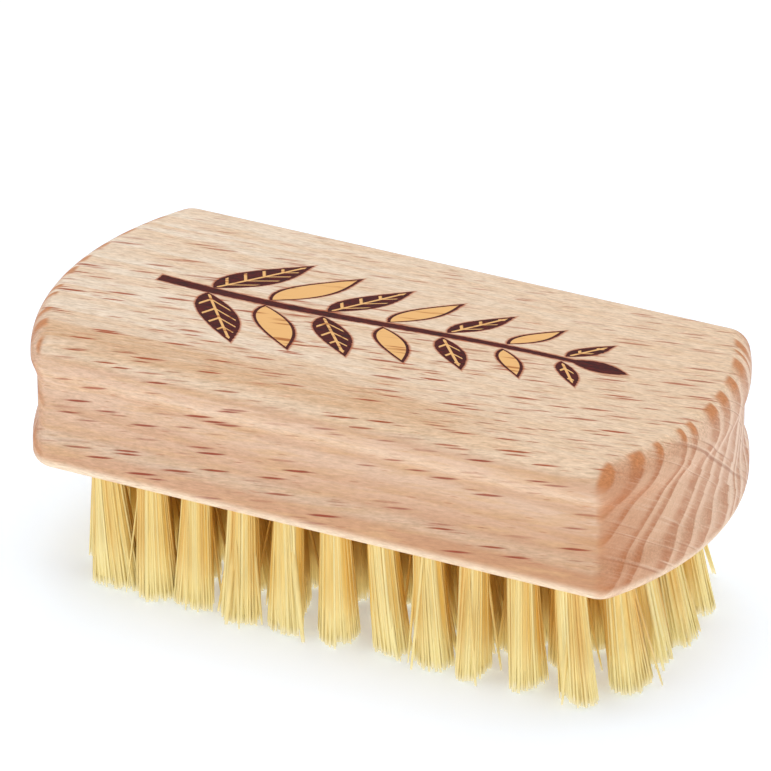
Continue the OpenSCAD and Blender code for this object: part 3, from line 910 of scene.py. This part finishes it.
def fibre_mesh(name, points, faces):
    """A mesh of walls and ends, put in with foreach_set because there are so many of them."""
    mesh = bpy.data.meshes.new(name)
    mesh.vertices.add(len(points))
    mesh.vertices.foreach_set("co", (points * MM).astype(np.float32).ravel())
    corners = np.concatenate([kind.ravel() for kind in faces]).astype(np.int32)
    corner_count = np.concatenate([np.full(len(kind), kind.shape[1]) for kind in faces])
    mesh.loops.add(len(corners))
    mesh.loops.foreach_set("vertex_index", corners)
    mesh.polygons.add(len(corner_count))
    mesh.polygons.foreach_set("loop_start", (np.cumsum(corner_count) - corner_count).astype(np.int32))
    mesh.update(calc_edges=True)
    mesh.validate()
    mesh.shade_smooth()
    return new_object(name, mesh)


# %% [markdown]
# The fibre is bleached tampico, the leaf fibre of an agave: straw yellow, a little waxy, and no two
# of one shade. Light reaches the inner tufts only through the outer ones, and every fibre that it
# passes takes out more blue than yellow. So the gaps between tufts look deep golden, which a render
# of few bounces can't find by itself, and the fibres that stand further in are painted so.

# %% Fibre material
tampico, tree = new_material("tampico_fibre_waxy")
tone, run, inside = (
    node(tree, "ShaderNodeAttribute", output="Fac", attribute_name=mark)
    for mark in ("tone", "run", "inside"))
straw = node(tree, "ShaderNodeValToRGB", (tone,), output="Color")
ramp = straw.node.color_ramp
ramp.elements[0].position, ramp.elements[0].color = 0.05, linear("#EBBF6C")
ramp.elements[1].position, ramp.elements[1].color = 0.95, linear("#FDEEAF")
middle = ramp.elements.new(0.45)
middle.color = linear("#F6DA8C")
# Painted shade: fibres that stand further inside the brush are painted a deeper golden.
golden_painted_shade = node(tree, STEP, {0: inside, 1: 0.25, 2: 0.8, 4: 0.9}, **SMOOTH)
straw = node(tree, BLEND, {0: golden_painted_shade, 6: straw, 7: linear("#FFCF66")}, **RGBA)
spot = node(tree, "ShaderNodeTexCoord", output="Object")
spot = node(tree, VECTOR, (spot, (2200.0, 2200.0, 160.0)), **TIMES)
mottle = node(tree, NOISE, {"Vector": spot, "Scale": 1.0, "Detail": 2.0})
mottle = node(tree, STEP, {0: mottle, 1: 0.25, 2: 0.75, 3: 0.9, 4: 1.06})
fibre_colour = node(tree, VECTOR, (straw, mottle), **TIMES)
# Towards the tips the fibres are painted paler, partly as bleached fibre and partly as painted light that
# makes up for the dim light near the table. Their cut ends are the palest, as painted highlights.
for start, most, colour in ((0.45, 0.75, "#FFF0AE"), (0.93, 0.6, "#FFF8DC")):
    tip_pale_and_painted_light = node(tree, STEP, {0: run, 1: start, 2: 1.0, 4: most}, **SMOOTH)
    fibre_colour = node(tree, BLEND, {0: tip_pale_and_painted_light, 6: fibre_colour, 7: linear(colour)}, **RGBA)
finish = {"Base Color": fibre_colour, "Roughness": 0.45, "IOR": 1.48, "Specular IOR Level": 0.3}
waxy = node(tree, "ShaderNodeBsdfPrincipled", finish)
node(tree, SURFACE, {"Surface": waxy})

# %% Tufts
for row in range(ROWS):
    points, faces, marks = fibre_row(row_x[row], row_y[row], 11 + row)
    tufts = fibre_mesh(f"fibres_row_{row + 1}", points, faces)
    for name, values in marks.items():
        layer = tufts.data.attributes.new(name, "FLOAT", "POINT")
        layer.data.foreach_set("value", values.astype(np.float32))
    tufts.data.materials.append(tampico)
    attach(tufts, "root")
    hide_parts(f"tuft_row_{row + 1}")
    print(tufts.name, "fibres:", FIBRES * row_count[row], "triangles:",
          sum(len(kind) * (kind.shape[1] - 2) for kind in faces))

# %% [markdown]
# The anchors are short cuts of flat brass wire, hard drawn and left bright. They lie unseen at the
# bottom of the holes, so their CAD solids stay as they are and only get the metal.
# Drawing leaves fine lines along the wire, about 0.05 mm apart.

# %% Anchor wire
brass, tree = new_material("brass_wire_drawn")
spot = node(tree, "ShaderNodeTexCoord", output="Object")
spot = node(tree, VECTOR, (spot, (600.0, 20000.0, 20000.0)), **TIMES)
drawn = node(tree, NOISE, {"Vector": spot, "Scale": 1.0, "Detail": 2.0})
gloss = node(tree, STEP, {0: drawn, 3: 0.24, 4: 0.42})
tint = node(tree, BLEND, {0: drawn, 6: linear("#C9A85C"), 7: linear("#DDC27E")}, **RGBA)
finish = {"Base Color": tint, "Roughness": gloss, "Metallic": 1.0}
metal = node(tree, "ShaderNodeBsdfPrincipled", finish)
node(tree, SURFACE, {"Surface": metal})
anchor_rows = [solid for name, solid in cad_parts.items() if name.startswith("anchor_row")]
for solid in anchor_rows:
    solid.data.materials.clear()
    solid.data.materials.append(brass)
print("anchor rows with brass:", len(anchor_rows))

# %% View transform
bpy.context.scene.view_settings.view_transform = "Standard"
